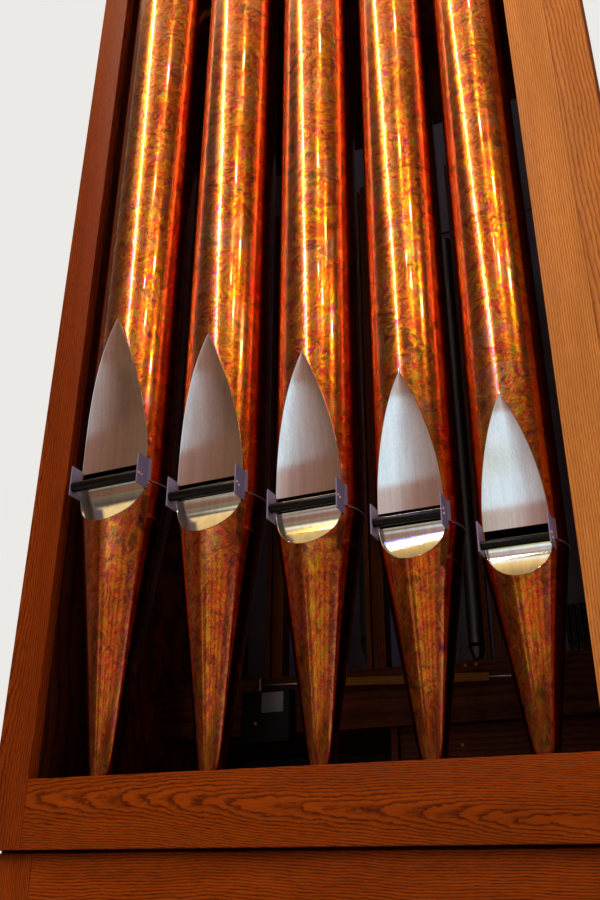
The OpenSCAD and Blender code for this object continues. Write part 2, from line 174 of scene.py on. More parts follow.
def put(piece, material, slot, *nodes):
    """Gives a piece its material and its place in the frame."""
    piece.data.materials.clear()
    piece.data.materials.append(material)
    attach(piece, "root")
    if nodes:
        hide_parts(*nodes)
    return piece


def board(low, high, along=UP, ease=1.2 * MM):
    """A planed board: a rectangle with its four corners rounded by a quarter circle,
    carried along the grain and drawn in by the same round at both ends."""
    low, high = np.array(low, float), np.array(high, float)
    across = [k for k in range(3) if k != along]
    if along == Y:
        across = across[::-1]
    turn = np.linspace(0, math.pi / 2, 4)
    corner = np.concatenate([turn + k * math.pi / 2 for k in range(4)])
    signs = np.repeat([[1, 1], [-1, 1], [-1, -1], [1, -1]], 4, 0)
    centre = (low + high) / 2
    half = (high - low) / 2
    ends = 1 - np.cos(turn)
    inset = (1 - np.sin(turn)) * ease
    rings = []
    for step, pull in zip(
        np.concatenate([low[along] + ends * ease, high[along] - ends[::-1] * ease]),
        np.concatenate([inset, inset[::-1]]),
    ):
        ring = np.zeros((len(corner), 3))
        ring[:, along] = step
        for axis, wave, sign in ((across[0], np.cos, 0), (across[1], np.sin, 1)):
            reach = half[axis] - ease
            ring[:, axis] = (
                centre[axis] + signs[:, sign] * reach + wave(corner) * (ease - pull)
            )
        rings.append(ring)
    return solid_rings(rings)


def turned(profile, centre, axis=Z, count=32):
    """A body turned on a lathe: the profile's (distance along, radius) pairs carried
    round the axis through centre. Its ends close on flat faces."""
    around = np.linspace(0, 2 * math.pi, count, endpoint=False)
    profile = np.asarray(profile, float)
    first, second = [k for k in range(3) if k != axis]
    if axis == Y:
        first, second = second, first
    rings = np.zeros((len(profile), count, 3)) + np.asarray(centre, float)
    rings[:, :, first] += profile[:, 1:2] * np.cos(around)
    rings[:, :, second] += profile[:, 1:2] * np.sin(around)
    rings[:, :, axis] += profile[:, :1]
    return solid_rings(rings)


def eased(radius, low, high, ease):
    """Profile of a rod with rounded arrises: a quarter circle at each end."""
    turn = np.linspace(0, math.pi / 2, 4)
    along, out = ease * (1 - np.sin(turn)), radius - ease * (1 - np.cos(turn))
    start = np.stack([low + along[::-1], out[::-1]], 1)
    end = np.stack([high - along, out], 1)
    return np.concatenate([start, end])


def button(centre, direction, radius, height, count=20):
    """A round screw head: a low dome on a short edge, with a slot pressed across its
    middle. Height falls as a circle's arc from the crown to the edge."""
    rings = np.array([1.0, 1.0, 0.93, 0.75, 0.5, 0.25, 0.0])
    lift = np.array([0.0, 0.35, 0.6, 0.8, 0.93, 0.98, 1.0])
    around = np.linspace(0, 2 * math.pi, count, endpoint=False)
    u = rings[:, None] * np.cos(around)
    v = rings[:, None] * np.sin(around)
    w = np.repeat(lift[:, None], count, 1)
    slot = (np.abs(v) < 0.16) & (rings[:, None] < 0.9)
    w = np.where(slot, w - 0.35, w)
    normal = Vector(direction).normalized()
    side = normal.orthogonal().normalized()
    other = normal.cross(side)
    points = (
        np.array(centre)
        + u[..., None] * radius * np.array(side)
        + v[..., None] * radius * np.array(other)
        + w[..., None] * height * np.array(normal)
    )
    return solid_rings(points)


# Materials


def hex_linear(code):
    """Linear colour of an sRGB hex value."""
    value = [int(code[k : k + 2], 16) / 255 for k in (1, 3, 5)]
    return tuple(
        c / 12.92 if c <= 0.04045 else ((c + 0.055) / 1.055) ** 2.4 for c in value
    ) + (1.0,)


def per_mm(size):
    """Pattern scale, in turns per metre, for a feature of that many millimetres."""
    return 1000 / size


# Settings of nodes: a smooth step between two values, and a mix of two colours. The mix
# takes its share and colours at inputs 0, 6 and 7 and gives the result at output 2.
SMOOTH = {"interpolation_type": "SMOOTHSTEP"}
COLOURS = {"data_type": "RGBA"}


class Nodes:
    """A node tree and the small function that adds nodes to it."""

    def __init__(self, tree):
        self.tree = tree

    def add(self, kind, settings=None, stops=(), **inputs):
        """A node of that kind with its settings, its inputs set or linked and, on a colour
        ramp, its stops, each a place and a hex or linear colour. An input goes by its name,
        or by its number as _0 where the node repeats a name."""
        node = self.tree.nodes.new("ShaderNode" + kind)
        for key, value in (settings or {}).items():
            setattr(node, key, value)
        for key, value in inputs.items():
            socket = node.inputs.get(key.replace("_", " ").title()) or node.inputs[int(key[1:])]
            self.give(value, socket)
        for k, (place, colour) in enumerate(stops):
            elements = node.color_ramp.elements
            if k == 0:
                elements.remove(elements[1])
                elements[0].position = place
            element = elements.new(place) if k else elements[0]
            element.color = hex_linear(colour) if isinstance(colour, str) else (*colour, 1.0)
        return node

    def give(self, value, socket):
        """Sets a socket, or links it to another or to the first output of a node."""
        if isinstance(value, bpy.types.Node):
            value = value.outputs[0]
        if isinstance(value, bpy.types.NodeSocket):
            self.tree.links.new(value, socket)
        else:
            socket.default_value = value


class Finish(Nodes):
    """A material and its nodes."""

    def __init__(self, name, **base):
        self.material = bpy.data.materials.new(name)
        self.material.use_nodes = True
        super().__init__(self.material.node_tree)
        self.shader = self.tree.nodes["Principled BSDF"]
        for key, value in base.items():
            socket = key.replace("_", " ").title().replace("Ior", "IOR")
            self.shader.inputs[socket].default_value = value

    def link(self, value, socket):
        """Feeds the surface's socket of that name."""
        self.give(value, self.shader.inputs[socket])

    def place(self, scale=(1, 1, 1), turn=(0, 0, 0), shift=(0, 0, 0), source="Object"):
        """Object coordinates or the unrolled sheet, moved, turned and scaled."""
        where = self.add("TexCoord").outputs[source]
        node = self.add("Mapping", vector=where, location=shift, rotation=turn, scale=scale)
        return node.outputs[0]


# Oxide films from green over gold, orange and red to violet, by share of the noise
FILMS = [
    (0.3, "#4a8c58"), (0.37, "#6c9018"), (0.43, "#d8b410"), (0.49, "#f07c08"),
    (0.55, "#e03010"), (0.61, "#c02860"), (0.68, "#6a48c0"),
]
TONE_STEPS = (0.38, 0.44, 0.49, 0.54, 0.6, 0.68)


def flamed_copper(name, stretch, tones, haze_share, film_share, rough):
    """Copper sheet coloured by a torch and lacquered. The pattern lies on the unrolled
    sheet. Torch strokes 2 to 4 mm wide lean across the pipe and are swept round in
    swirls, oxide films a few millimetres wide give specks of gold, green, rose and
    violet, soot leaves dark spots, and clouds 70 mm wide leave the sheet greyer. Over
    it all the clear lacquer gives sharp reflections."""
    f = Finish(name, metallic=1.0, coat_weight=0.6, coat_roughness=0.03, coat_ior=1.5)
    sheet = f.place(turn=(0, 0, math.radians(28)), source="UV")
    swirl = f.add(
        "VectorMath",
        {"operation": "SCALE"},
        _0=f.add(
            "TexNoise", vector=sheet, scale=per_mm(90), detail=4, roughness=0.6, distortion=0.8
        ).outputs["Color"],
        scale=0.11,
    )
    there = f.add("VectorMath", {"operation": "ADD"}, _0=sheet, _1=swirl)
    lean = f.add("VectorMath", {"operation": "MULTIPLY"}, _0=there, _1=(1.0, stretch, 1.0))
    strokes = f.add(
        "TexNoise", vector=lean, scale=per_mm(5), detail=7, roughness=0.75, distortion=0.5
    )
    patches = f.add(
        "TexNoise", vector=there, scale=per_mm(26), detail=5, roughness=0.65, distortion=1.2
    )
    tone = f.add(
        "Math",
        {"operation": "MULTIPLY_ADD"},
        _0=strokes,
        _1=0.45,
        _2=f.add("Math", {"operation": "MULTIPLY"}, _0=patches, _1=0.55),
    )
    base = f.add("ValToRGB", stops=list(zip(TONE_STEPS, tones)), fac=tone)
    region = f.add(
        "MapRange",
        SMOOTH,
        value=f.add("TexNoise", vector=sheet, scale=per_mm(120), detail=3, distortion=0.6),
        from_min=0.4,
        from_max=0.6,
    )
    cast = f.add(
        "Mix", COLOURS, _0=region, _6=(1.0, 0.62, 0.34, 1.0), _7=(1.0, 1.08, 0.8, 1.0)
    ).outputs[2]
    base = f.add("Mix", {**COLOURS, "blend_type": "MULTIPLY"}, _0=1.0, _6=base, _7=cast).outputs[2]
    films = f.add(
        "ValToRGB",
        stops=FILMS,
        fac=f.add(
            "TexNoise", vector=lean, scale=per_mm(9), detail=6, roughness=0.7, distortion=1.2
        ),
    )
    filmed = f.add(
        "MapRange",
        SMOOTH,
        value=f.add(
            "TexNoise", vector=there, scale=per_mm(50), detail=4, roughness=0.65, distortion=0.8
        ),
        from_min=0.4,
        from_max=0.58,
        to_min=0.15,
        to_max=film_share,
    )
    colour = f.add("Mix", COLOURS, _0=filmed, _6=base, _7=films).outputs[2]
    haze = f.add(
        "MapRange",
        SMOOTH,
        value=f.add(
            "TexNoise", vector=there, scale=per_mm(70), detail=3, roughness=0.6, distortion=1.0
        ),
        from_min=0.5,
        from_max=0.68,
        to_min=0.0,
        to_max=haze_share,
    )
    colour = f.add("Mix", COLOURS, _0=haze, _6=colour, _7=hex_linear("#a88468")).outputs[2]
    sooty = f.add(
        "MapRange",
        SMOOTH,
        value=f.add("TexNoise", vector=there, scale=per_mm(50), detail=3, roughness=0.6),
        from_min=0.48,
        from_max=0.64,
    )
    soot = f.add(
        "Math",
        {"operation": "MULTIPLY"},
        _0=sooty,
        _1=f.add("MapRange", SMOOTH, value=patches, from_min=0.46, from_max=0.6),
    )
    colour = f.add(
        "Mix",
        COLOURS,
        _0=f.add("Math", {"operation": "MULTIPLY"}, _0=soot, _1=0.7),
        _6=colour,
        _7=hex_linear("#200c06"),
    ).outputs[2]
    f.link(colour, "Base Color")
    f.link(f.add("Math", {"operation": "MULTIPLY_ADD"}, _0=patches, _1=0.16, _2=rough), "Roughness")
    # Torch marks lift the metal by under a tenth of a millimetre
    f.link(f.add("Bump", height=strokes, distance=0.2 * MM, strength=0.25), "Normal")
    return f.material


def brushed_plate(name, colour, rough, hollow=0.0):
    """Rolled metal plate brushed along the pipe and left bright. The fine upright lines
    spread reflections sideways and keep their upper and lower edges. The real lines are
    about 0.2 mm apart and are drawn a millimetre apart so that they show. hollow is the
    slope that the press leaves in the plate, which turns its reflections down."""
    f = Finish(name, metallic=1.0)
    lines = f.add(
        "TexNoise", vector=f.place(scale=(1, 1, 0.012)), scale=per_mm(1.0), detail=3, roughness=0.7
    )
    wide = f.add("TexNoise", vector=f.place(scale=(1, 1, 0.03)), scale=per_mm(9), detail=2)
    tone = f.add(
        "Math",
        {"operation": "MULTIPLY_ADD"},
        _0=lines,
        _1=0.5,
        _2=f.add("Math", {"operation": "MULTIPLY"}, _0=wide, _1=0.5),
    )
    light = hex_linear(colour)
    deep = tuple(c * 0.84 for c in light[:3]) + (1.0,)
    f.link(
        f.add(
            "Mix",
            COLOURS,
            _0=f.add("MapRange", SMOOTH, value=tone, from_min=0.35, from_max=0.65),
            _6=deep,
            _7=light,
        ).outputs[2],
        "Base Color",
    )
    f.link(f.add("Math", {"operation": "MULTIPLY_ADD"}, _0=wide, _1=0.06, _2=rough), "Roughness")
    up = f.add("SeparateXYZ", vector=f.place()).outputs["Z"]
    height = f.add(
        "Math",
        {"operation": "MULTIPLY_ADD"},
        _0=up,
        _1=hollow,
        _2=f.add("Math", {"operation": "MULTIPLY"}, _0=lines, _1=0.04 * MM),
    )
    f.link(f.add("Bump", height=height, distance=1.0), "Normal")
    return f.material


# Growth ring from one late wood line to the next: share of the ring and how dark
RING = [(0.0, 1), (0.2, 0.7), (0.45, 0.1), (0.7, 0), (0.92, 0.1), (1.0, 1)]


def oak(name, tone, along, heart, ring=7.0, lean=0.03, seed=0.0, dark="#3a1002", wave=0.012):
    """Sawn red oak, planed, stained and oiled. Growth rings are shells round a heart
    that leans against the board, so that the face cuts them into long lines and arches.
    The early wood of each ring is full of open pores, dark dashes along the grain. The
    real ones are a third of a millimetre wide and are drawn wider so that they show."""
    f = Finish(name, roughness=0.45, specular_ior_level=0.1)

    def drawn_out(share):
        return f.place(scale=[share if k == along else 1 for k in range(3)])

    where = f.place(shift=(seed, seed, seed))
    sway = f.add(
        "VectorMath",
        {"operation": "SCALE"},
        _0=f.add(
            "TexNoise", vector=where, scale=per_mm(300), detail=2, roughness=0.4
        ).outputs["Color"],
        scale=wave * 2,
    )
    ripple = f.add(
        "TexNoise", vector=drawn_out(0.4), scale=per_mm(15), detail=3, roughness=0.6
    ).outputs["Color"]
    ripple = f.add("VectorMath", {"operation": "SCALE"}, _0=ripple, scale=wave * 0.4)
    total = f.add(
        "VectorMath",
        {"operation": "ADD"},
        _0=f.add(
            "VectorMath", {"operation": "ADD"}, _0=f.add("TexCoord").outputs["Object"], _1=sway
        ),
        _1=ripple,
    )
    split = f.add("SeparateXYZ", vector=total)
    axes = [split.outputs[k] for k in range(3)]
    sides = [axes[k] for k in range(3) if k != along]
    square = 0.0
    for side, middle, slope in ((sides[0], heart[0], lean), (sides[1], heart[1], lean * 1.7)):
        leaning = f.add("Math", {"operation": "MULTIPLY"}, _0=axes[along], _1=slope)
        off = f.add(
            "Math",
            {"operation": "ADD"},
            _0=f.add("Math", {"operation": "SUBTRACT"}, _0=side, _1=middle),
            _1=leaning,
        )
        square = f.add(
            "Math",
            {"operation": "ADD"},
            _0=f.add("Math", {"operation": "MULTIPLY"}, _0=off, _1=off),
            _1=square,
        )
    turns = f.add(
        "Math",
        {"operation": "FRACT"},
        _0=f.add(
            "Math",
            {"operation": "MULTIPLY"},
            _0=f.add("Math", {"operation": "SQRT"}, _0=square),
            _1=per_mm(ring),
        ),
    )
    line = f.add("ValToRGB", stops=[(place, (grey, grey, grey)) for place, grey in RING], fac=turns)
    pores = f.add(
        "MapRange",
        SMOOTH,
        value=f.add("TexNoise", vector=drawn_out(0.09), scale=per_mm(2.0), detail=3, roughness=0.7),
        from_min=0.48,
        from_max=0.6,
    )
    early = f.add(
        "Math",
        {"operation": "MULTIPLY"},
        _0=pores,
        _1=f.add(
            "Math",
            {"operation": "ADD"},
            _0=f.add("Math", {"operation": "MULTIPLY"}, _0=line, _1=0.7),
            _1=0.3,
        ),
    )
    broad = f.add("TexNoise", vector=drawn_out(0.1), scale=per_mm(30), detail=3, roughness=0.6)
    light, deep = hex_linear(tone), hex_linear(dark)
    mellow = tuple(a * 0.78 + b * 0.1 for a, b in zip(light[:3], deep[:3])) + (1.0,)
    colour = f.add(
        "Mix",
        COLOURS,
        _0=f.add("MapRange", SMOOTH, value=broad, from_min=0.35, from_max=0.65),
        _6=light,
        _7=mellow,
    ).outputs[2]
    colour = f.add(
        "Mix",
        COLOURS,
        _0=f.add("Math", {"operation": "MULTIPLY"}, _0=line, _1=0.74),
        _6=colour,
        _7=deep,
    ).outputs[2]
    colour = f.add(
        "Mix",
        COLOURS,
        _0=f.add("Math", {"operation": "MULTIPLY"}, _0=early, _1=0.7),
        _6=colour,
        _7=deep,
    ).outputs[2]
    f.link(colour, "Base Color")
    f.link(
        f.add(
            "Math",
            {"operation": "ADD"},
            _0=f.add("Math", {"operation": "MULTIPLY"}, _0=early, _1=0.2),
            _1=0.42,
        ),
        "Roughness",
    )
    f.link(
        f.add(
            "Bump",
            height=f.add("Math", {"operation": "MULTIPLY"}, _0=early, _1=-1.0),
            distance=0.12 * MM,
            strength=0.5,
        ),
        "Normal",
    )
    return f.material


def satin(name, colour, rough, metal=0.0, grain=3.0, vary=0.2, lift=0.02, shine=0.5):
    """A plain painted, cast or drawn surface: its colour drifts a little over a few
    centimetres and its skin has a fine grain."""
    f = Finish(name, metallic=metal, specular_ior_level=shine)
    drift = f.add("TexNoise", vector=f.place(), scale=per_mm(45), detail=3, roughness=0.55)
    skin = f.add("TexNoise", vector=f.place(), scale=per_mm(grain), detail=2)
    light = hex_linear(colour)
    deep = tuple(c * (1 - vary) for c in light[:3]) + (1.0,)
    f.link(f.add("Mix", COLOURS, _0=drift, _6=deep, _7=light).outputs[2], "Base Color")
    f.link(
        f.add("Math", {"operation": "MULTIPLY_ADD"}, _0=skin, _1=0.14, _2=rough - 0.07), "Roughness"
    )
    f.link(f.add("Bump", height=skin, distance=lift * MM, strength=0.4), "Normal")
    return f.material


BODY_TONES = ("#441608", "#84360a", "#b4560e", "#cc7010", "#e08a20", "#e4a850")
# The feet's tones are darker than the body's as painted shade, for the dim lower room that the feet
# face. Their upright stretch, fewer films and smoother metal are the foot's own finish.
FOOT_TONES_WITH_PAINTED_SHADE = ("#280c04", "#601e04", "#963c04", "#bc5806", "#d07c10", "#dca038")
copper_body = flamed_copper("copper_torch_flamed_lacquered", 0.42, BODY_TONES, 0.45, 0.9, 0.13)
copper_foot = flamed_copper("copper_foot_flamed_lacquered_painted_shade", 0.3, FOOT_TONES_WITH_PAINTED_SHADE, 0.05, 0.55, 0.02)
lip_metal = brushed_plate("lip_plate_brushed_bright", "#d8d4d0", 0.06)
lower_metal = brushed_plate("lower_lip_plate_pressed_hollow", "#dcd8d0", 0.03, 0.02)
# Zinc plate left to grow its own dull grey: hardly any mirror. Its violet tint is painted light,
# the bluish light that the ears face.
ear_metal = satin("ear_plate_dull_zinc_violet_painted_light", "#90849c", 0.45, 0.35, grain=1.5)
# Beech rod, stained black and oiled: near black with a soft olive highlight
roller_black = satin("roller_black_stained", "#060403", 0.28, grain=2.0, shine=0.2)
solder = satin("seam_solder_tinned", "#aca4b4", 0.4, 0.4)
screw_steel = satin("screw_nickel_polished", "#f4e8cc", 0.3, 0.3, lift=0.0)
screw_brass = satin("screw_brass_turned", "#c9a64a", 0.3, 1.0)
painted_panel = satin("inner_panel_painted_grey_blue", "#8c8296", 0.55, grain=1.5)
pipe_grey = satin("inner_pipe_zinc_dull", "#7c8084", 0.4, 0.9)
# The small pipes at the right of the case get a darker grey than the other inner pipes.
treble_grey_darker = satin("treble_pipe_darker_grey", "#3b3e42", 0.35, 0.9)
box_black = satin("relay_box_moulded_black", "#0a0b0c", 0.6, grain=1.0, lift=0.05, shine=0.2)
label_pale = satin("label_plain_foil", "#9c9a98", 0.5, shine=0.2)
rod_steel = satin("rod_drawn_steel", "#9a9da0", 0.3, 1.0)


# Case


def wood_piece(node, material, slot, boards):
    """Planed boards in place of a node's plain solids."""
    put(join_solids(node, boards, smooth=50), material, slot, node).name = node + "_boards"


def span(node):
    """Lower and upper corner of a node."""
    low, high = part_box(node)
    return np.array(low), np.array(high)


def case_board(node, material, slot="oak_red", along=UP, ease=1.2 * MM):
    """One board as large as its node."""
    low, high = span(node)
    wood_piece(node, material, slot, [board(low, high, along, ease)])


# Each oak: its stain, the way of its grain, the heart of its rings in metres, the width
# of a ring in millimetres, the heart's lean, a shift of the pattern and the late wood
stile_oak = oak("oak_stile_left", "#8c3803", UP, (-0.47, -0.30), 3.0, 0.012, 1.3, "#4a1400")
post_oak = oak("oak_post_right", "#de8e42", UP, (0.30, -0.33), 3.2, 0.004, 2.1, "#9a5420", 0.004)
closing_oak = oak("oak_closing_stile", "#d08038", UP, (0.47, -0.37), 5.0, 0.012, 3.7, "#8a4616")
rail_oak = oak("oak_impost_rail", "#963e02", ACROSS, (-0.36, 1.66), 2.4, 0.035, 0.4, "#3a0e00")
base_oak = oak("oak_base_rail", "#963e02", ACROSS, (-0.33, 1.50), 3.0, 0.02, 5.2, "#3a0e00")
base_stile_oak = oak("oak_base_stile", "#963e02", UP, (-0.47, -0.34), 3.0, 0.02, 6.1, "#3a0e00")
panel_oak = oak("oak_base_panel", "#9c4806", UP, (0.02, -0.26), 3.5, 0.01, 7.9)
side_oak = oak("oak_case_side", "#a04a08", UP, (0.35, 0.05), 4.0, 0.01, 8.4, "#4a1a02")
# The oak inside the case (jambs, back and roof) is a dark stain, made darker still as painted
# shade.
inside_oak_painted_shade = oak("oak_inside_dark_painted_shade", "#4a1c0a", UP, (0.1, -0.2), 6.0, 0.015, 9.6, "#1c0602")
chest_oak = oak("chest_pine_stained", "#703616", ACROSS, (0.05, 1.83), 9.0, 0.01, 4.4, "#381808")
pale_pine = oak("lath_pine_bare", "#c08038", ACROSS, (0.0, 1.9), 4.0, 0.01, 2.9, "#8a5420")
post_pine = oak("inner_pipe_pine", "#8a4a22", UP, (0.1, 0.05), 5.0, 0.01, 3.3, "#4c240e")

case_board("stile_left", stile_oak, "oak")
case_board("stile_right", post_oak, "oak")
case_board("closing_stile", closing_oak, "oak")
case_board("impost_rail", rail_oak, along=ACROSS)
case_board("top_rail", post_oak, "oak", along=ACROSS)
case_board("base_stile_left", base_stile_oak)
case_board("base_stile_right", base_stile_oak)
case_board("base_top_rail", base_oak, along=ACROSS)
case_board("base_bottom_rail", base_oak, along=ACROSS)
case_board("base_panel", panel_oak, ease=0.5 * MM)
case_board("deck", base_oak, along=ACROSS)
case_board("jamb_left", inside_oak_painted_shade)
case_board("jamb_right", inside_oak_painted_shade)
case_board("side_left", side_oak, "oak")
case_board("side_right", side_oak, "oak")
case_board("back_panel", inside_oak_painted_shade)
case_board("roof", inside_oak_painted_shade, along=ACROSS)

PLINTH_BOARD = 30 * MM
CARCASS_BOARD = 22 * MM

low, high = span("plinth")
thick = PLINTH_BOARD
wood_piece(
    "plinth",
    base_oak,
    "oak_red",
    [
        board(low, (high[0], low[1] + thick, high[2]), ACROSS),
        board((low[0], high[1] - thick, low[2]), high, ACROSS),
        board((low[0], low[1] + thick, low[2]), (low[0] + thick, high[1] - thick, high[2]), Y),
        board((high[0] - thick, low[1] + thick, low[2]), (high[0], high[1] - thick, high[2]), Y),
    ],
)
low, high = span("base_carcass")
thick = CARCASS_BOARD
wood_piece(
    "base_carcass",
    side_oak,
    "oak_red",
    [
        board(low, (low[0] + thick, high[1], high[2])),
        board((high[0] - thick, low[1], low[2]), high),
        board((low[0] + thick, high[1] - thick, low[2]), (high[0] - thick, high[1], high[2])),
    ],
)
# These solids show as they are and only get a material
for node, material in (
    ("toe_board", chest_oak),
    ("pipe_rail", chest_oak),
    ("windchest", chest_oak),
    ("wooden_pipes", post_pine),
    ("inner_panel", painted_panel),
):
    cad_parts[node].data.materials.clear()
    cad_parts[node].data.materials.append(material)


# Facade pipes

# Points round a pipe over its pressed front and round the rest of it
FRONT = 16
BACK = 96
# Half width of the front at which a row is no longer pressed but round
LEAST = 2 * MM
# The pattern moves this far from pipe to pipe, and this far from a body to its foot
PATTERN_STEP = 0.9
FOOT_STEP = 0.4
# Thickness of the plate in the mouth, and the slit before it
LANGUID = 4 * MM
WINDWAY = 1.2 * MM


def angles_round(half, radius):
    """Angles round a pipe for each row, from the front edge of the pressed part on the
    left, over the front, and on round the back. half and radius are per row."""
    edge = np.arcsin(np.clip(half / radius, 0, 1))[:, None]
    front = np.linspace(-1, 1, FRONT, endpoint=False)[None] * edge
    back = edge + np.linspace(0, 1, BACK, endpoint=False)[None] * (2 * math.pi - 2 * edge)
    return np.concatenate([front, back], 1)


def pressed_tube(pipe, z, radius, half, pressed):
    """Points of a pipe wall: a circle of the row's radius, whose front between the two
    edges lies on the straight line between them where the row is pressed."""
    angle = angles_round(half, radius)
    x = radius[:, None] * np.sin(angle)
    y = -radius[:, None] * np.cos(angle)
    flat = -np.sqrt(np.maximum(radius**2 - half**2, 0))[:, None]
    front = np.arange(FRONT + BACK) < FRONT
    y = np.where(front[None] & pressed[:, None], flat, y)
    return np.stack([pipe.x + x, pipe.y + y, np.repeat(z[:, None], FRONT + BACK, 1)], -1)


def unroll(piece, pipe, offset):
    """Lays the sheet flat as UV, in metres: the way round from the front times the
    radius of the body, and the height. Each pipe gets its own stretch of pattern."""
    mesh = piece.data
    corner = np.zeros(len(mesh.loops), int)
    mesh.loops.foreach_get("vertex_index", corner)
    points = np.zeros(len(mesh.vertices) * 3)
    mesh.vertices.foreach_get("co", points)
    points = points.reshape(-1, 3)[corner]
    angle = np.arctan2(points[:, 0] - pipe.x, pipe.y - points[:, 1])
    first = np.zeros(len(mesh.polygons), int)
    count = np.zeros(len(mesh.polygons), int)
    mesh.polygons.foreach_get("loop_start", first)
    mesh.polygons.foreach_get("loop_total", count)
    # Faces across the back seam keep to one side of it
    face = np.repeat(np.arange(len(first)), count)
    behind = (np.abs(angle) > 2) & (np.maximum.reduceat(angle, first)[face] > 2)
    angle = np.where(behind & (angle < 0), angle + 2 * math.pi, angle)
    flat = np.stack([angle * pipe.r + offset, points[:, 2] + 1.7 * offset], 1)
    mesh.uv_layers.new(name="sheet").data.foreach_set("uv", flat.ravel())


def wall(piece, thickness):
    """Gives a sheet its thickness, inwards."""
    solid = piece.modifiers.new("wall", "SOLIDIFY")
    solid.thickness = thickness
    solid.offset = -1
    solid.use_even_offset = True


def pipe_body(pipe):
    """Tube with the pressed leaf over the lip and the mouth cut below it."""
    mouth_z = np.linspace(pipe.languid, pipe.lip, 5)[:-1]
    leaf_z = pipe.lip + pipe.leaf * np.sin(np.linspace(0, math.pi / 2, 44))
    above = np.linspace(pipe.lip + pipe.leaf + 4 * MM, pipe.top, 30)
    z = np.concatenate([mouth_z, leaf_z, above])
    over = np.clip(z - pipe.lip, 0, pipe.leaf)
    half = np.maximum(pipe.leaf_half(over), LEAST)
    radius = np.full(len(z), pipe.r)
    points = pressed_tube(pipe, z, radius, half, (z < pipe.lip + pipe.leaf) & (half > LEAST))
    keep = np.ones((len(z) - 1, FRONT + BACK), bool)
    keep[: len(mouth_z), :FRONT] = False
    piece = finish_mesh(
        f"pipe_body_{pipe.number}_tube",
        points.reshape(-1, 3),
        grid_faces(len(z), FRONT + BACK, True, keep=keep),
        smooth=20,
    )
    unroll(piece, pipe, PATTERN_STEP * pipe.number)
    wall(piece, WALL)
    return put(piece, copper_body, "copper", f"pipe_body_{pipe.number}")


def pipe_foot(pipe):
    """Cone with the pressed lower lip, from the toe to the languid."""
    toe = np.linspace(pipe.toe, pipe.languid - pipe.lower - 4 * MM, 24)
    lip = pipe.languid - pipe.lower * np.cos(np.linspace(0, math.pi / 2, 24))
    z = np.concatenate([toe, lip])
    half = np.maximum(pipe.lower_half(np.clip(pipe.languid - z, 0, pipe.lower)), LEAST)
    half = np.minimum(half, pipe.mouth / 2)
    radius = pipe.cone(z)
    points = pressed_tube(pipe, z, radius, np.minimum(half, radius * 0.9), half > LEAST)
    piece = finish_mesh(
        f"pipe_foot_{pipe.number}_cone",
        points.reshape(-1, 3),
        grid_faces(len(z), FRONT + BACK, True),
        smooth=20,
    )
    unroll(piece, pipe, PATTERN_STEP * pipe.number + FOOT_STEP)
    wall(piece, WALL)
    return put(piece, copper_foot, "copper", f"pipe_foot_{pipe.number}")


def languid(pipe):
    """Flat plate over the foot: a disc with its front cut straight behind the slit."""
    inner = pipe.r - WALL
    front = pipe.mouth_y - WALL - WINDWAY
    cut = math.acos(front / inner)
    angle = np.linspace(cut, 2 * math.pi - cut, 48)
    ring = np.stack([pipe.x + inner * np.sin(angle), pipe.y - inner * np.cos(angle), 0 * angle], 1)
    rings = [ring + (0, 0, z) for z in (pipe.languid - LANGUID, pipe.languid)]
    piece = join_solids(f"languid_{pipe.number}", [solid_rings(rings)])
    return put(piece, pipe_grey, "pipe_metal")


def plate_ring(pipe, z, base_y, half, share):
    """One cross section of a lip plate: flat in front, with a chamfered rim that rolls
    back to the pipe over about a millimetre and a half."""
    ledge = min(1.5 * MM, half * 0.45)
    rise = PLATE * share
    x = np.array([half, half, half - ledge * 0.35, half - ledge])
    y = np.array([0.25 * MM, -0.15 * MM, -rise - 0.25 * MM, -rise])
    x = np.concatenate([x, -x[::-1]])
    y = np.concatenate([y, y[::-1]])
    return np.stack([pipe.x + x, pipe.y + base_y + y, np.full(8, z)], 1)


def upper_lip(pipe):
    """Pointed leaf laid on the pressed metal, ruled straight across."""
    over = pipe.leaf * np.sin(np.linspace(0, math.pi / 2, 56))
    rings = []
    for z in over:
        half = float(pipe.leaf_half(z))
        rings.append(plate_ring(pipe, pipe.lip + z, -math.sqrt(pipe.r**2 - half**2), half + RIM, 1))
    # The tip runs out to a point over the last 9 mm
    for k in (0.3, 0.6, 0.85, 1.0):
        z = pipe.lip + pipe.leaf + 9 * MM * k
        rings.append(plate_ring(pipe, z, -pipe.r, RIM * (1.02 - k), 1 - 0.5 * k))
    piece = join_solids(f"upper_lip_{pipe.number}", [solid_rings(rings)], smooth=25)
    return put(piece, lip_metal, "lip_metal", f"lips_{pipe.number}")


def lower_lip(pipe):
    """Half ellipse laid on the pressed foot, ruled straight across. Its top edge leans
    out by 0.8 mm and catches the light as a thin line."""
    under = (pipe.lower - 0.02 * MM) * np.cos(np.linspace(0, math.pi / 2, 40))
    under = np.concatenate([under[under > 4 * MM], (2.6 * MM, 2.2 * MM, 0)])
    rings = []
    for t in under:
        half = float(pipe.lower_half(t))
        r = pipe.cone(pipe.languid - t)
        z = pipe.languid - t * (1 + RIM / pipe.lower)
        lean = 1 + max(0, 1 - t / (2.4 * MM))
        rings.append(plate_ring(pipe, z, -math.sqrt(r**2 - half**2), half + RIM, lean))
    piece = join_solids(f"lower_lip_{pipe.number}", [solid_rings(rings)], smooth=12)
    return put(piece, lower_metal, "lip_metal")


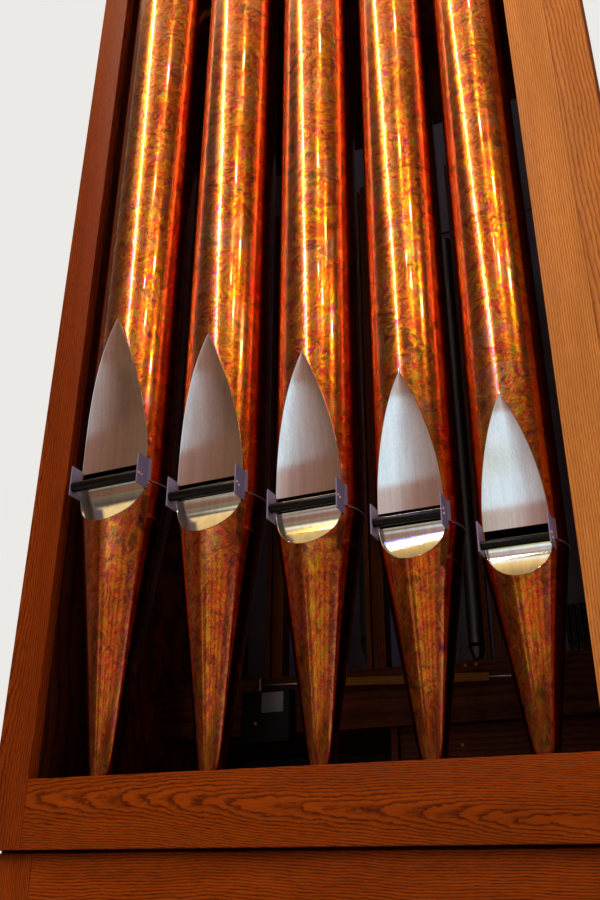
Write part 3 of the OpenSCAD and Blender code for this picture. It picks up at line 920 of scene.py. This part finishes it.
def ear_plan(pipe, side, flange):
    """Plan of one ear: a flat plate from the front back to the pipe and, with a flange,
    a small bend and a strip that lies on the round of the pipe."""
    inner = pipe.ear_x
    front = pipe.ear_front - pipe.y
    outer = pipe.r + FLANGE
    last = math.asin(min(0.99, (inner + FLANGE_WIDTH) / outer)) if flange else None
    meet = math.asin((inner + EAR) / outer)
    if flange:
        lie = np.linspace(last, meet + 0.01, 7)
        back = np.linspace(math.asin(inner / pipe.r), last, 7)
    else:
        lie = np.linspace(meet, meet + 0.001, 7)
        back = np.linspace(math.asin(inner / pipe.r), math.asin((inner + EAR) / pipe.r), 7)
    strip_out = np.stack([outer * np.sin(lie), -outer * np.cos(lie)], 1)
    strip_in = np.stack([pipe.r * np.sin(back), -pipe.r * np.cos(back)], 1)
    plate = np.array(
        [
            [inner + EAR, strip_out[-1, 1] - 0.8 * MM],
            [inner + EAR, front + 0.4 * MM],
            [inner + EAR - 0.4 * MM, front],
            [inner + 0.4 * MM, front],
            [inner, front + 0.4 * MM],
        ]
    )
    outline = np.concatenate([strip_out, plate, strip_in])
    outline[:, 0] *= side
    return outline if side < 0 else outline[::-1]


# Each pair of screws is turned about the rod's end by its own angle, in degrees
SCREW_TILT = (5, 25, 15, 85, 60)
SCREW_SPREAD = 3.6 * MM
SCREW_RADIUS = 2.0 * MM
SCREW_HEIGHT = 1.6 * MM


def ears(pipe):
    """Pair of ears, each a plate with a flange above the languid, and two small screws
    in each that hold the roller."""
    solids, heads = [], []
    low, high = pipe.ear_low, pipe.ear_high
    ease = 0.4 * MM
    for side in (-1, 1):
        for flange, levels in (
            (True, ((pipe.languid, 0), (high - ease, 0), (high, ease))),
            (False, ((low, ease), (low + ease, 0), (pipe.languid, 0))),
        ):
            outline = ear_plan(pipe, side, flange)
            away = outline - outline.mean(0)
            away /= np.linalg.norm(away, axis=1, keepdims=True)
            rings = []
            for z, pull in levels:
                plan = (pipe.x, pipe.y) + outline - away * pull
                rings.append(np.column_stack([plan, np.full(len(outline), z)]))
            solids.append(solid_rings(rings))
        tilt = math.radians(SCREW_TILT[pipe.number - 1])
        for turn in (-1, 1):
            spot = (
                pipe.x + side * (pipe.ear_x + EAR - 0.1 * MM),
                pipe.rod_y + turn * SCREW_SPREAD * math.cos(tilt),
                pipe.rod_z + 2 * MM - turn * SCREW_SPREAD * math.sin(tilt),
            )
            heads.append(button(spot, (side, 0, 0), SCREW_RADIUS, SCREW_HEIGHT, 14))
    plates = join_solids(f"ears_{pipe.number}_plates", solids, 25)
    put(plates, ear_metal, "ear_metal", f"ears_{pipe.number}")
    put(join_solids(f"ear_screws_{pipe.number}", heads, 40), screw_steel, "ear_metal")


def roller(pipe):
    """Turned rod between the ears, its ends eased."""
    centre = (pipe.x, pipe.rod_y, pipe.rod_z)
    reach = pipe.ear_x - 0.1 * MM
    rod = turned(eased(pipe.rod, -reach, reach, 1.0 * MM), centre, X, 40)
    piece = join_solids(f"roller_{pipe.number}_rod", [rod])
    # Kept out of reflections, so that the lower lips mirror the ceiling past the roller
    piece.visible_glossy = False
    return put(piece, roller_black, "roller", f"roller_{pipe.number}")


def seam(pipe):
    """Solder bead round the joint of body and foot: a small circle carried round the
    pipe from one ear to the other."""
    start = math.asin((pipe.ear_x + FLANGE_WIDTH) / pipe.r) + 0.01
    sweep = np.linspace(start, 2 * math.pi - start, 90)
    section = np.linspace(0, 2 * math.pi, 10, endpoint=False)
    bead = 0.7 * MM
    out = pipe.r - 0.1 * MM + bead * np.cos(section)
    rings = np.stack(
        [
            pipe.x + out[None] * np.sin(sweep)[:, None],
            pipe.y - out[None] * np.cos(sweep)[:, None],
            np.repeat(pipe.languid + bead * np.sin(section)[None], len(sweep), 0),
        ],
        -1,
    )[:, ::-1]
    return put(join_solids(f"seam_{pipe.number}", [solid_rings(rings)]), solder, "lip_metal")


for pipe in pipes:
    pipe_body(pipe)
    pipe_foot(pipe)
    languid(pipe)
    upper_lip(pipe)
    lower_lip(pipe)
    ears(pipe)
    roller(pipe)
    seam(pipe)


# Inside

low, high = span("relay_box")
LABEL_RIGHT, LABEL_DROP = 15 * MM, 4 * MM
LABEL_HALF, LABEL_HEIGHT, LABEL_THICK = 21.5 * MM, 35 * MM, 0.8 * MM
label_middle, label_top = (low[X] + high[X]) / 2 + LABEL_RIGHT, high[Z] - LABEL_DROP
case_low = low + (0, LABEL_THICK, 0)
case = join_solids("relay_box_case", [board(case_low, high, UP, 2.0 * MM)])
put(case, box_black, "box", "relay_box")
label_low = (label_middle - LABEL_HALF, low[Y], label_top - LABEL_HEIGHT)
label_high = (label_middle + LABEL_HALF, low[Y] + LABEL_THICK + 0.4 * MM, label_top)
label = join_solids("relay_box_label", [board(label_low, label_high, UP, 0.3 * MM)])
put(label, label_pale, "box")

# The linkage lies in a frame that falls to the right. LATH_PLACE is the middle of the
# lath in the opening, and the other places are measured from there along the fall.
pin_top = span("linkage")[1][Z]
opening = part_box("impost_rail")
row_mid = (opening[0].x + opening[1].x) / 2
chest_low, chest_high = span("windchest")
LATH_X, LATH_OUT, LATH_DROP = 22 * MM, 12 * MM, 25.5 * MM
LATH_PLACE = (row_mid + LATH_X, chest_low[Y] - LATH_OUT, chest_high[Z] - LATH_DROP)
FALL = math.radians(2.5)


def tilted(solid):
    """A body turned about Y by the fall and moved to the lath's middle."""
    points, faces = solid
    cos, sin = math.cos(FALL), math.sin(FALL)
    turn = np.array([[cos, 0, sin], [0, 1, 0], [-sin, 0, cos]])
    return points @ turn.T + np.array(LATH_PLACE), faces


def steel_rod(start, end, centre=(0, 0, 0), axis=X):
    """A steel rod 5 mm thick with eased ends."""
    return turned(eased(2.5 * MM, start, end, 0.5 * MM), centre, axis, 20)


pin_x = -229 * MM
bracket = 290 * MM - LATH_X
reach = 173.5 * MM
lath = board((-reach, -4 * MM, -7 * MM), (reach, 4 * MM, 7 * MM), ACROSS, 0.8 * MM)
put(join_solids("linkage_lath", [tilted(lath)]), pale_pine, "pine", "linkage")
plate = board((bracket, -5 * MM, -10 * MM), (bracket + 8 * MM, 12 * MM, 10 * MM), UP, 0.6 * MM)
pin_place = (row_mid + pin_x, LATH_PLACE[Y], 0)
rods = [
    tilted(steel_rod(pin_x - LATH_X, -reach + 2 * MM)),
    tilted(steel_rod(reach - 2 * MM, bracket + 4 * MM)),
    tilted(plate),
    steel_rod(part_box("relay_box")[1].z, pin_top, pin_place, Z),
]
put(join_solids("linkage_rods", rods), rod_steel, "pipe_metal")


base, front = chest_high[Z], chest_low[Y]


def inner_pipe(x, y, d, foot, height):
    """Plain metal pipe in three bodies: a cone foot, a ring open at the front where the
    mouth is, and the tube over it. It stands on the chest, x from the middle of the
    opening and y behind the chest's front. All sizes are in millimetres."""
    x, y, r, foot, height = row_mid + x * MM, front + y * MM, d / 2 * MM, foot * MM, height * MM
    mouth, lip, top = base + foot, base + foot + r * 2 / 5, base + height
    cone = [(base, r * 0.3), (mouth - 0.5 * MM, r), (mouth, r - 0.4 * MM)]
    tube = [(lip, r - 0.3 * MM), (lip + 0.3 * MM, r), (top - 0.5 * MM, r), (top, r - 0.5 * MM)]
    open_half = 0.9
    turn = np.linspace(open_half, 2 * math.pi - open_half, 28)
    arc = np.stack([np.sin(turn), -np.cos(turn)], 1)
    outline = np.concatenate([arc * r, (arc * (r - 1 * MM))[::-1]])[::-1]
    ring = [np.column_stack([outline + (x, y), np.full(len(outline), z)]) for z in (mouth, lip)]
    return [turned(cone, (x, y, 0), Z, 28), solid_rings(ring), turned(tube, (x, y, 0), Z, 28)]


metal = (span("metal_pipes")[1][Z] - base) / MM
large = inner_pipe(x=-34, y=60, d=44, foot=60, height=metal)
slim = inner_pipe(x=168.5, y=30, d=30, foot=26, height=metal)
put(join_solids("metal_pipes_large", large + slim), pipe_grey, "pipe_metal", "metal_pipes")
trebles = []
for k in range(5):
    trebles += inner_pipe(x=328 + k * 10.5, y=14, d=9, foot=16, height=80)
put(join_solids("metal_pipes_treble", trebles), treble_grey_darker, "pipe_metal")
# Screws by X and Z in millimetres and by the face that they are driven into
box_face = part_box("relay_box")[0].y + 0.7 * MM
heads = [
    button((x * MM, face + 0.1 * MM, z * MM), (0, -1, 0), 3.0 * MM, 1.6 * MM)
    for x, z, face in (
        (125, 1892, front),
        (143, 1892, front),
        (105, 1766, front + 20 * MM),
        (-259, 1816, box_face),
    )
]
put(join_solids("chest_screws", heads), screw_brass, "pipe_metal")


# Stage, light and camera

floor_mesh = bpy.data.meshes.new("floor")
far = 14.0
corners = [(-far, -far, 0), (far, -far, 0), (far, far, 0), (-far, far, 0)]
floor_mesh.from_pydata(corners, [], [(0, 1, 2, 3)])
floor = bpy.data.objects.new("floor", floor_mesh)
bpy.context.scene.collection.objects.link(floor)
floor_finish = Finish("floor_pale_matt", roughness=0.8)
floor_finish.shader.inputs["Base Color"].default_value = hex_linear("#d9d4cc")
floor_mesh.materials.append(floor_finish.material)


def lamp(name, place, aim, width, height, power, colour="#ffffff"):
    """A soft box at place, turned to aim."""
    light = bpy.data.lights.new(name, "AREA")
    light.shape = "RECTANGLE"
    light.size, light.size_y = width, height
    light.energy = power
    light.color = hex_linear(colour)[:3]
    lamp_object = bpy.data.objects.new(name, light)
    bpy.context.scene.collection.objects.link(lamp_object)
    turn = (Vector(aim) - Vector(place)).to_track_quat("-Z", "Y")
    lamp_object.matrix_world = Matrix.Translation(place) @ turn.to_matrix().to_4x4()
    return lamp_object


row = Vector((0, pipes[0].y, 2.6))


def from_row(azimuth, elevation, distance):
    """A point seen from the middle of the row, azimuth to the right of the front."""
    a, e = math.radians(azimuth), math.radians(elevation)
    towards = Vector((math.sin(a) * math.cos(e), -math.cos(a) * math.cos(e), math.sin(e)))
    return row + distance * towards


def strip(name, start, end, width, power, colour, shift=0.0):
    """A long thin lamp from start to end that faces the row, moved sideways by shift."""
    start, end = Vector(start), Vector(end)
    middle = (start + end) / 2
    along = (end - start).normalized()
    back = middle - row
    back = (back - along * back.dot(along)).normalized()
    across = along.cross(back)
    light = lamp(name, middle, row, width, (end - start).length, power, colour)
    turn = Matrix((across, along, back)).transposed().to_4x4()
    light.matrix_world = Matrix.Translation(middle + across * shift) @ turn
    return light


# A leaning line of light, which draws the long bright line down every pipe. Its upper
# part has a gold border and its lower part a violet one.
LINE_LOW, LINE_HIGH = np.array([(-0.50, -3.72, 4.13), (-1.95, -2.47, 7.19)])
change = LINE_LOW * 0.6 + LINE_HIGH * 0.4
strip("line", LINE_LOW, LINE_HIGH, 0.14, 42, "#fff8f0")
strip("line_gold", change, LINE_HIGH, 0.16, 16, "#ffb400", -0.2)
strip("line_violet", LINE_LOW, change, 0.08, 12, "#6a5cff", -0.19)
# Small lamps of the hall, each a short glint on every pipe
HALL = (
    (1.22, -3.29, 5.63), (2.17, -2.67, 5.06), (1.87, -4.85, 6.05), (1.87, -3.30, 4.82),
    (2.51, -1.92, 4.23), (1.5, -2.9, 6.4),
)
HALL_SIZE, HALL_POWER = 0.09, 5.0
for k, place in enumerate(HALL):
    lamp(f"hall_{k}", place, row, HALL_SIZE, HALL_SIZE, HALL_POWER, "#fff0dc")
# Broad soft boxes light the wood. Metal shows the room instead of their outlines.
lamp("soft_left", from_row(-36, 30, 6.5), row, 3.6, 3.6, 250, "#fff1e2").visible_glossy = False
lamp("soft_right", from_row(74, 22, 5.0), row, 2.0, 2.0, 95, "#e4deff").visible_glossy = False

world = bpy.data.worlds.new("studio")
bpy.context.scene.world = world
world.use_nodes = True
room = Nodes(world.node_tree)
ray = room.add("TexCoord").outputs["Generated"]
split = room.add("SeparateXYZ", vector=ray)
DEGREES = 180 / math.pi
ahead = room.add("Math", {"operation": "MULTIPLY"}, _0=split.outputs["Y"], _1=-1.0)
azimuth = room.add(
    "Math",
    {"operation": "MULTIPLY"},
    _0=room.add("Math", {"operation": "ARCTAN2"}, _0=split.outputs["X"], _1=ahead),
    _1=DEGREES,
)
height = room.add(
    "Math",
    {"operation": "MULTIPLY"},
    _0=room.add("Math", {"operation": "ARCSINE"}, _0=split.outputs["Z"]),
    _1=DEGREES,
)


def wall_of_room(*stops):
    """Colours of the room round the horizon. A stop is an azimuth, in degrees to the
    right of the front, and its linear colour."""
    place = room.add("Math", {"operation": "MULTIPLY_ADD"}, _0=azimuth, _1=1 / 360, _2=0.5)
    return room.add(
        "ValToRGB", stops=[((angle + 180) / 360, colour) for angle, *colour in stops], fac=place
    )


PALE = (0.84, 0.82, 0.79, 1.0)
# What the feet show: a dim room with upright streaks, and a violet edge at the right
floor_level = wall_of_room(
    (-110, 0.04, 0.03, 0.02), (-62, 0.1, 0.07, 0.05), (-40, 0.13, 0.09, 0.06),
    (-30, 0.22, 0.17, 0.11), (-27, 0.95, 0.88, 0.6), (-24, 0.3, 0.24, 0.14),
    (-14, 0.26, 0.2, 0.12), (-8, 0.9, 0.86, 0.4), (-4, 0.55, 0.48, 0.22), (1, 0.95, 0.78, 0.42),
    (6, 0.32, 0.24, 0.13), (13, 0.85, 0.62, 0.3), (20, 0.4, 0.3, 0.17), (28, 0.9, 0.6, 0.32),
    (35, 0.35, 0.25, 0.15), (46, 0.8, 0.5, 0.32), (55, 0.3, 0.22, 0.17), (70, 0.4, 0.32, 0.4),
    (80, 0.8, 0.66, 1.0), (84, 0.84, 0.7, 1.1), (88, 0.14, 0.1, 0.1), (110, 0.08, 0.06, 0.05),
    (150, 0.05, 0.04, 0.03),
)
# A window over it, seen in the middle of the leaves and brighter to the right. Here and in
# the next level the stops from -42 to -10 degrees were fitted, so that each leaf comes out
# near its average colour in the photograph.
window = wall_of_room(
    (-114, 0.06, 0.04, 0.03), (-60, 0.24, 0.15, 0.1), (-42, 0.17, 0.085, 0.05),
    (-36, 0.17, 0.085, 0.055), (-29, 0.35, 0.22, 0.18), (-22.5, 0.5, 0.4, 0.39),
    (-16.5, 0.66, 0.65, 0.7), (-10, 1.08, 1.3, 1.48), (10, 0.9, 1.0, 1.1), (30, 0.6, 0.5, 0.4),
    (48, 0.4, 0.3, 0.2), (84, 0.2, 0.14, 0.1), (90, 0.04, 0.03, 0.03), (120, 0.02, 0.02, 0.02),
)
# What the ends of the leaves show: a brown wall at the left that grows paler to the right
wall_level = wall_of_room(
    (-114, 0.06, 0.04, 0.03), (-86, 0.16, 0.11, 0.08), (-60, 0.28, 0.18, 0.12),
    (-42, 0.22, 0.11, 0.065), (-36, 0.23, 0.115, 0.07), (-29, 0.31, 0.16, 0.115),
    (-22.5, 0.36, 0.19, 0.15), (-16.5, 0.46, 0.27, 0.23), (-10, 0.78, 0.66, 0.65),
    (5, 0.6, 0.5, 0.4), (30, 0.45, 0.33, 0.23), (57, 0.2, 0.13, 0.08), (64, 0.3, 0.2, 0.12),
    (71, 0.12, 0.08, 0.05), (80, 0.2, 0.12, 0.08), (90, 0.04, 0.03, 0.03),
    (120, 0.02, 0.02, 0.02),
)
# What the bodies show: the bright upper room, a thin line at the far left, dusk at the right
upper_level = wall_of_room(
    (-114, 0.06, 0.04, 0.03), (-88, 0.08, 0.06, 0.04), (-83.5, 0.12, 0.09, 0.06),
    (-82, 0.95, 0.8, 0.74), (-80.5, 0.16, 0.12, 0.09), (-55, 0.12, 0.09, 0.065),
    (-42, 0.2, 0.155, 0.11), (-30, 0.34, 0.27, 0.19), (0, 0.52, 0.42, 0.31),
    (22, 0.56, 0.45, 0.33), (36, 0.4, 0.3, 0.22), (44, 0.3, 0.22, 0.16), (50, 0.12, 0.08, 0.05),
    (54, 0.2, 0.14, 0.09), (57, 0.09, 0.06, 0.04), (62, 0.22, 0.14, 0.09),
    (66, 0.08, 0.05, 0.04), (71, 0.1, 0.06, 0.04), (76, 0.18, 0.11, 0.08),
    (80, 0.06, 0.04, 0.03), (90, 0.03, 0.02, 0.02), (120, 0.02, 0.015, 0.01),
)
# The lit ceiling, seen in the lower lips: white, then yellow, then brown overhead. Its
# stops are shares of the way from the horizon to overhead.
ceiling = room.add(
    "ValToRGB",
    stops=[
        (0.45, (1.45, 1.36, 1.24)),
        (0.53, (1.4, 1.3, 1.08)),
        (0.6, (1.25, 0.9, 0.42)),
        (0.7, (1.0, 0.66, 0.26)),
        (0.8, (0.6, 0.38, 0.16)),
        (0.95, (0.4, 0.26, 0.12)),
    ],
    fac=room.add("Math", {"operation": "MULTIPLY"}, _0=height, _1=1 / 90),
)
# The levels follow each other upwards, each from the height in degrees where it starts
# to the height where it has taken over
painted = room.add(
    "Mix",
    COLOURS,
    _0=room.add("MapRange", SMOOTH, value=height, from_min=2.5, from_max=5),
    _6=floor_level,
    _7=window,
).outputs[2]
painted = room.add(
    "Mix",
    COLOURS,
    _0=room.add("MapRange", SMOOTH, value=height, from_min=11.6, from_max=13.2),
    _6=painted,
    _7=wall_level,
).outputs[2]
painted = room.add(
    "Mix",
    COLOURS,
    _0=room.add("MapRange", SMOOTH, value=height, from_min=24, from_max=30),
    _6=painted,
    _7=upper_level,
).outputs[2]
# The ceiling starts lower between the middle and the left
over_left = room.add(
    "MapRange", SMOOTH, value=azimuth, from_min=-8, from_max=2, to_min=1.0, to_max=0.0
)
over_left = room.add(
    "Math",
    {"operation": "MULTIPLY"},
    _0=room.add("MapRange", SMOOTH, value=height, from_min=39, from_max=46),
    _1=over_left,
)
over_left = room.add(
    "Math",
    {"operation": "MULTIPLY"},
    _0=over_left,
    _1=room.add("MapRange", SMOOTH, value=azimuth, from_min=-46, from_max=-36),
)
overhead = room.add(
    "Math",
    {"operation": "MAXIMUM"},
    _0=over_left,
    _1=room.add("MapRange", SMOOTH, value=height, from_min=50, from_max=54),
)
painted = room.add("Mix", COLOURS, _0=overhead, _6=painted, _7=ceiling).outputs[2]
# The pale wall that stands behind the organ
behind = room.add(
    "MapRange", SMOOTH, value=azimuth, from_min=-128, from_max=-124, to_min=1.0, to_max=0.0
)
behind = room.add(
    "Math",
    {"operation": "MAXIMUM"},
    _0=behind,
    _1=room.add("MapRange", SMOOTH, value=azimuth, from_min=172, from_max=176),
)
painted = room.add("Mix", COLOURS, _0=behind, _6=painted, _7=PALE).outputs[2]
# Metal and glass show the room and the pale wall. The camera sees the pale wall all
# round, and other surfaces get a little even light.
path = room.add("LightPath").outputs
mirrored = room.add(
    "Math", {"operation": "MAXIMUM"}, _0=path["Is Glossy Ray"], _1=path["Is Transmission Ray"]
)
seen = room.add("Mix", COLOURS, _0=mirrored, _6=(0.14, 0.13, 0.12, 1.0), _7=painted).outputs[2]
seen = room.add("Mix", COLOURS, _0=path["Is Camera Ray"], _6=seen, _7=PALE).outputs[2]
room.give(seen, room.tree.nodes["Background"].inputs["Color"])

# The camera's place, in metres and from the face of the left stile, its axes and its
# lens were worked out from the lines of the pipes and rails in the photograph
camera = bpy.data.cameras.new("camera")
camera.sensor_fit = "VERTICAL"
camera.sensor_height = 36
camera.lens = 35.907
camera.clip_start = 0.05
viewpoint = bpy.data.objects.new("camera", camera)
bpy.context.scene.collection.objects.link(viewpoint)
right = Vector((0.90839, 0.41811, 0.00434))
up = Vector((0.17754, -0.39509, 0.90132))
forward = Vector((-0.37857, 0.81798, 0.43313))
turn = Matrix((right, up, -forward)).transposed().to_4x4()
front_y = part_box("stile_left")[0].y
viewpoint.matrix_world = Matrix.Translation((0.5095, front_y - 1.1, 1.5615)) @ turn
bpy.context.scene.camera = viewpoint
bpy.context.scene.view_settings.view_transform = "Standard"
